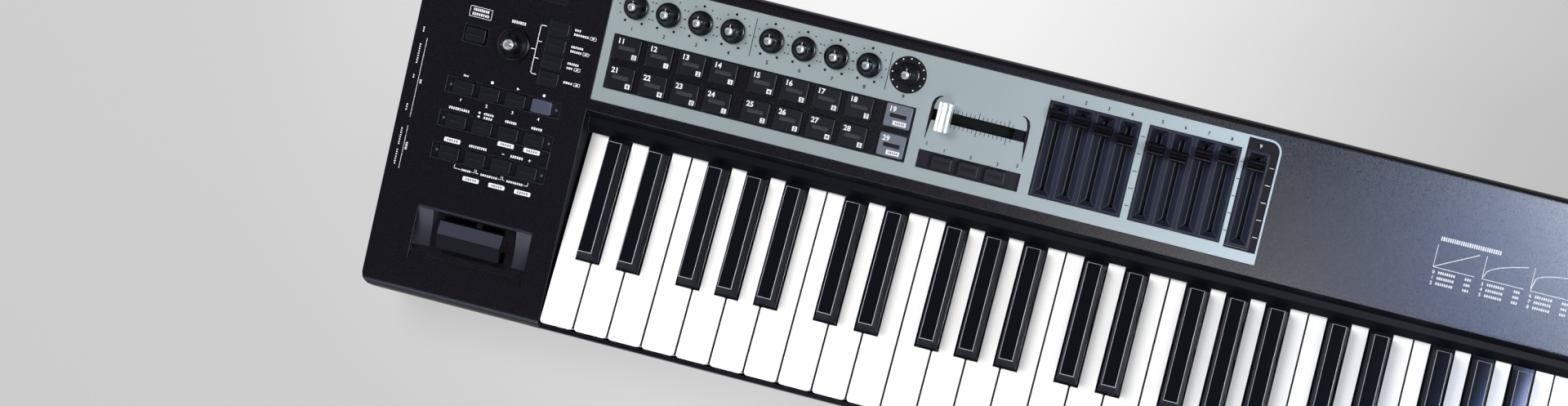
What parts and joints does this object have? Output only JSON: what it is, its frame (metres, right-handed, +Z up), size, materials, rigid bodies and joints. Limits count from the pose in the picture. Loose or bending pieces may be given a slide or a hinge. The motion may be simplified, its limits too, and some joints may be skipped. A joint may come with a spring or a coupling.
{
  "type": "portable keyboard",
  "caption": "Compact controller keyboard: full-size keys, a tilted panel of knobs, pads, faders and buttons, a bender paddle, and sockets in the left side.",
  "frame": {"origin": "under the middle of the case, on the surface that its feet stand on", "axes": "+X along the keys towards the high notes, +Y towards the back of the case, +Z up"},
  "size_m": [0.829, 0.246, 0.1062],
  "materials": {
    "case": "fine-grained satin black with a blue tint",
    "base": "matte black",
    "plate": "satin silver grey",
    "natural": "glossy white",
    "sharp": "glossy black",
    "knob": "satin black",
    "button": "matte dark grey rubber",
    "pad_slate": "matte slate rubber",
    "white": "satin white",
    "display": "glossy dark window",
    "foot": "matte black rubber",
    "frame": "moulded grey",
    "board": "dark circuit board",
    "socket": "matte black",
    "contact": "grey silicone"
  },
  "bodies": {
    "chassis": {"top_case": "case", "socket_panel": "case", "bottom_case": "base", "control_plate": "plate", "key_frame": "frame", "contact_board": "board", "contact_strip": "contact", "panel_board": "board", "jack_board": "socket", "display_window": "display", "bender_housing": "case", "foot_front_left": "foot", "foot_front_right": "foot", "foot_rear_left": "foot", "foot_rear_right": "foot"},
    "outer_naturals_1": {"natural_keys_outer_1": "natural"},
    "outer_naturals_2": {"natural_keys_outer_2": "natural"},
    "outer_naturals_3": {"natural_keys_outer_3": "natural"},
    "outer_naturals_4": {"natural_keys_outer_4": "natural"},
    "inner_naturals_1": {"natural_keys_inner_1": "natural"},
    "inner_naturals_2": {"natural_keys_inner_2": "natural"},
    "inner_naturals_3": {"natural_keys_inner_3": "natural"},
    "inner_naturals_4": {"natural_keys_inner_4": "natural"},
    "sharps_1": {"sharp_keys_1": "sharp"},
    "sharps_2": {"sharp_keys_2": "sharp"},
    "sharps_3": {"sharp_keys_3": "sharp"},
    "sharps_4": {"sharp_keys_4": "sharp"},
    "knob_body_1": {"knob_1": "knob"},
    "knob_body_2": {"knob_2": "knob"},
    "knob_body_3": {"knob_3": "knob"},
    "knob_body_4": {"knob_4": "knob"},
    "knob_body_5": {"knob_5": "knob"},
    "knob_body_6": {"knob_6": "knob"},
    "knob_body_7": {"knob_7": "knob"},
    "knob_body_8": {"knob_8": "knob"},
    "knob_body_9": {"knob_9": "knob"},
    "dial": {"value_dial": "knob"},
    "fader_cap_1": {"fader_1": "knob"},
    "fader_cap_2": {"fader_2": "knob"},
    "fader_cap_3": {"fader_3": "knob"},
    "fader_cap_4": {"fader_4": "knob"},
    "fader_cap_5": {"fader_5": "knob"},
    "fader_cap_6": {"fader_6": "knob"},
    "fader_cap_7": {"fader_7": "knob"},
    "fader_cap_8": {"fader_8": "knob"},
    "fader_cap_9": {"fader_9": "knob"},
    "crossfader_cap": {"crossfader": "white"},
    "cradle": {"bender_cradle": "frame"},
    "paddle": {"bender_paddle": "knob"},
    "mapping": {"mapping_button": "button"},
    "functions": {"function_buttons": "button"},
    "transport": {"transport_buttons": "button"},
    "layers": {"layer_buttons": "button"},
    "octaves": {"octave_buttons": "button"},
    "assigns": {"assign_buttons": "button"},
    "pads_left": {"pad_mat_left": "button"},
    "pads_middle": {"pad_mat_middle": "button"},
    "pads_right": {"pad_mat_right": "pad_slate"},
    "power": {"power_switch": "knob"},
    "merge": {"merge_switch": "knob"}
  },
  "joints": [
    {"name": "outer_naturals_1_press", "type": "hinge", "parent": "chassis", "child": "outer_naturals_1", "pos_m": [-0.20665, 0.0476, 0.0467], "axis": [1, 0, 0], "range_deg": [0, 3.4], "stiffness_Nm_per_rad": 2, "springref_deg": -6.88},
    {"name": "outer_naturals_2_press", "type": "hinge", "parent": "chassis", "child": "outer_naturals_2", "pos_m": [-0.04215, 0.0476, 0.0467], "axis": [1, 0, 0], "range_deg": [0, 3.4], "stiffness_Nm_per_rad": 2, "springref_deg": -6.88},
    {"name": "outer_naturals_3_press", "type": "hinge", "parent": "chassis", "child": "outer_naturals_3", "pos_m": [0.12235, 0.0476, 0.0467], "axis": [1, 0, 0], "range_deg": [0, 3.4], "stiffness_Nm_per_rad": 2, "springref_deg": -6.88},
    {"name": "outer_naturals_4_press", "type": "hinge", "parent": "chassis", "child": "outer_naturals_4", "pos_m": [0.2986, 0.0476, 0.0467], "axis": [1, 0, 0], "range_deg": [0, 3.4], "stiffness_Nm_per_rad": 2.5, "springref_deg": -6.88},
    {"name": "inner_naturals_1_press", "type": "hinge", "parent": "chassis", "child": "inner_naturals_1", "pos_m": [-0.20665, 0.0476, 0.0501], "axis": [1, 0, 0], "range_deg": [0, 3.4], "stiffness_Nm_per_rad": 2, "springref_deg": -6.88},
    {"name": "inner_naturals_2_press", "type": "hinge", "parent": "chassis", "child": "inner_naturals_2", "pos_m": [-0.04215, 0.0476, 0.0501], "axis": [1, 0, 0], "range_deg": [0, 3.4], "stiffness_Nm_per_rad": 2, "springref_deg": -6.88},
    {"name": "inner_naturals_3_press", "type": "hinge", "parent": "chassis", "child": "inner_naturals_3", "pos_m": [0.12235, 0.0476, 0.0501], "axis": [1, 0, 0], "range_deg": [0, 3.4], "stiffness_Nm_per_rad": 2, "springref_deg": -6.88},
    {"name": "inner_naturals_4_press", "type": "hinge", "parent": "chassis", "child": "inner_naturals_4", "pos_m": [0.28685, 0.0476, 0.0501], "axis": [1, 0, 0], "range_deg": [0, 3.4], "stiffness_Nm_per_rad": 2, "springref_deg": -6.88},
    {"name": "sharps_1_press", "type": "hinge", "parent": "chassis", "child": "sharps_1", "pos_m": [-0.20655, 0.0476, 0.0535], "axis": [1, 0, 0], "range_deg": [0, 3.4], "stiffness_Nm_per_rad": 2, "springref_deg": -6.88},
    {"name": "sharps_2_press", "type": "hinge", "parent": "chassis", "child": "sharps_2", "pos_m": [-0.04205, 0.0476, 0.0535], "axis": [1, 0, 0], "range_deg": [0, 3.4], "stiffness_Nm_per_rad": 2, "springref_deg": -6.88},
    {"name": "sharps_3_press", "type": "hinge", "parent": "chassis", "child": "sharps_3", "pos_m": [0.12245, 0.0476, 0.0535], "axis": [1, 0, 0], "range_deg": [0, 3.4], "stiffness_Nm_per_rad": 2, "springref_deg": -6.88},
    {"name": "sharps_4_press", "type": "hinge", "parent": "chassis", "child": "sharps_4", "pos_m": [0.28695, 0.0476, 0.0535], "axis": [1, 0, 0], "range_deg": [0, 3.4], "stiffness_Nm_per_rad": 2, "springref_deg": -6.88},
    {"name": "knob_1_turn", "type": "hinge", "parent": "chassis", "child": "knob_body_1", "pos_m": [-0.2724, 0.09784, 0.09284], "axis": [0, -0.1582, 0.9874], "range_deg": [-150, 150]},
    {"name": "knob_2_turn", "type": "hinge", "parent": "chassis", "child": "knob_body_2", "pos_m": [-0.2503, 0.09784, 0.09284], "axis": [0, -0.1582, 0.9874], "range_deg": [-150, 150]},
    {"name": "knob_3_turn", "type": "hinge", "parent": "chassis", "child": "knob_body_3", "pos_m": [-0.2282, 0.09784, 0.09284], "axis": [0, -0.1582, 0.9874], "range_deg": [-150, 150]},
    {"name": "knob_4_turn", "type": "hinge", "parent": "chassis", "child": "knob_body_4", "pos_m": [-0.2061, 0.09784, 0.09284], "axis": [0, -0.1582, 0.9874], "range_deg": [-150, 150]},
    {"name": "knob_5_turn", "type": "hinge", "parent": "chassis", "child": "knob_body_5", "pos_m": [-0.1796, 0.09784, 0.09284], "axis": [0, -0.1582, 0.9874], "range_deg": [-150, 150]},
    {"name": "knob_6_turn", "type": "hinge", "parent": "chassis", "child": "knob_body_6", "pos_m": [-0.1575, 0.09784, 0.09284], "axis": [0, -0.1582, 0.9874], "range_deg": [-150, 150]},
    {"name": "knob_7_turn", "type": "hinge", "parent": "chassis", "child": "knob_body_7", "pos_m": [-0.1354, 0.09784, 0.09284], "axis": [0, -0.1582, 0.9874], "range_deg": [-150, 150]},
    {"name": "knob_8_turn", "type": "hinge", "parent": "chassis", "child": "knob_body_8", "pos_m": [-0.1133, 0.09784, 0.09284], "axis": [0, -0.1582, 0.9874], "range_deg": [-150, 150]},
    {"name": "knob_9_turn", "type": "hinge", "parent": "chassis", "child": "knob_body_9", "pos_m": [-0.0868, 0.09784, 0.09284], "axis": [0, -0.1582, 0.9874], "range_deg": [-150, 150]},
    {"name": "value_dial_turn", "type": "hinge", "parent": "chassis", "child": "dial", "pos_m": [-0.3471, 0.05489, 0.08596], "axis": [0, -0.1582, 0.9874], "continuous": true},
    {"name": "fader_1_slide", "type": "slide", "parent": "chassis", "child": "fader_cap_1", "axis": [0, 0.9874, 0.1582], "range_m": [-0.0461, 0]},
    {"name": "fader_2_slide", "type": "slide", "parent": "chassis", "child": "fader_cap_2", "axis": [0, 0.9874, 0.1582], "range_m": [-0.0459, 0.0002]},
    {"name": "fader_3_slide", "type": "slide", "parent": "chassis", "child": "fader_cap_3", "axis": [0, 0.9874, 0.1582], "range_m": [-0.0438, 0.0023]},
    {"name": "fader_4_slide", "type": "slide", "parent": "chassis", "child": "fader_cap_4", "axis": [0, 0.9874, 0.1582], "range_m": [-0.0412, 0.0049]},
    {"name": "fader_5_slide", "type": "slide", "parent": "chassis", "child": "fader_cap_5", "axis": [0, 0.9874, 0.1582], "range_m": [-0.0405, 0.0056]},
    {"name": "fader_6_slide", "type": "slide", "parent": "chassis", "child": "fader_cap_6", "axis": [0, 0.9874, 0.1582], "range_m": [-0.0392, 0.0069]},
    {"name": "fader_7_slide", "type": "slide", "parent": "chassis", "child": "fader_cap_7", "axis": [0, 0.9874, 0.1582], "range_m": [-0.044, 0.0021]},
    {"name": "fader_8_slide", "type": "slide", "parent": "chassis", "child": "fader_cap_8", "axis": [0, 0.9874, 0.1582], "range_m": [-0.0457, 0.0004]},
    {"name": "fader_9_slide", "type": "slide", "parent": "chassis", "child": "fader_cap_9", "axis": [0, 0.9874, 0.1582], "range_m": [-0.0456, 0.0005]},
    {"name": "crossfader_slide", "type": "slide", "parent": "chassis", "child": "crossfader_cap", "axis": [1, 0, 0], "range_m": [0, 0.045]},
    {"name": "bender_push", "type": "hinge", "parent": "chassis", "child": "cradle", "pos_m": [-0.3469, -0.07132, 0.02321], "axis": [-1, 0, 0], "range_deg": [0, 5], "stiffness_Nm_per_rad": 0.5, "springref_deg": -2.86},
    {"name": "bender_swing", "type": "hinge", "parent": "cradle", "child": "paddle", "pos_m": [-0.3469, -0.07132, 0.02321], "axis": [0, 0.9874, 0.1582], "range_deg": [-9, 9], "stiffness_Nm_per_rad": 0.3},
    {"name": "mapping_press", "type": "slide", "parent": "chassis", "child": "mapping", "axis": [0, 0.1582, -0.9874], "range_m": [0, 0.001], "stiffness_N_per_m": 500, "springref_m": -0.001},
    {"name": "functions_press", "type": "slide", "parent": "chassis", "child": "functions", "axis": [0, 0.1582, -0.9874], "range_m": [0, 0.001], "stiffness_N_per_m": 500, "springref_m": -0.001},
    {"name": "transport_press", "type": "slide", "parent": "chassis", "child": "transport", "axis": [0, 0.1582, -0.9874], "range_m": [0, 0.001], "stiffness_N_per_m": 500, "springref_m": -0.001},
    {"name": "layers_press", "type": "slide", "parent": "chassis", "child": "layers", "axis": [0, 0.1582, -0.9874], "range_m": [0, 0.001], "stiffness_N_per_m": 500, "springref_m": -0.001},
    {"name": "octaves_press", "type": "slide", "parent": "chassis", "child": "octaves", "axis": [0, 0.1582, -0.9874], "range_m": [0, 0.001], "stiffness_N_per_m": 500, "springref_m": -0.001},
    {"name": "assigns_press", "type": "slide", "parent": "chassis", "child": "assigns", "axis": [0, 0.1582, -0.9874], "range_m": [0, 0.001], "stiffness_N_per_m": 500, "springref_m": -0.001},
    {"name": "pads_left_press", "type": "slide", "parent": "chassis", "child": "pads_left", "axis": [0, 0.1582, -0.9874], "range_m": [0, 0.001], "stiffness_N_per_m": 800, "springref_m": -0.001},
    {"name": "pads_middle_press", "type": "slide", "parent": "chassis", "child": "pads_middle", "axis": [0, 0.1582, -0.9874], "range_m": [0, 0.001], "stiffness_N_per_m": 800, "springref_m": -0.001},
    {"name": "pads_right_press", "type": "slide", "parent": "chassis", "child": "pads_right", "axis": [0, 0.1582, -0.9874], "range_m": [0, 0.001], "stiffness_N_per_m": 800, "springref_m": -0.001},
    {"name": "power_rock", "type": "hinge", "parent": "chassis", "child": "power", "pos_m": [-0.4132, 0.0706, 0.04], "axis": [0, 0, 1], "range_deg": [-7, 7]},
    {"name": "merge_slide", "type": "slide", "parent": "chassis", "child": "merge", "axis": [0, 1, 0], "range_m": [-0.002, 0.002]}
  ]
}
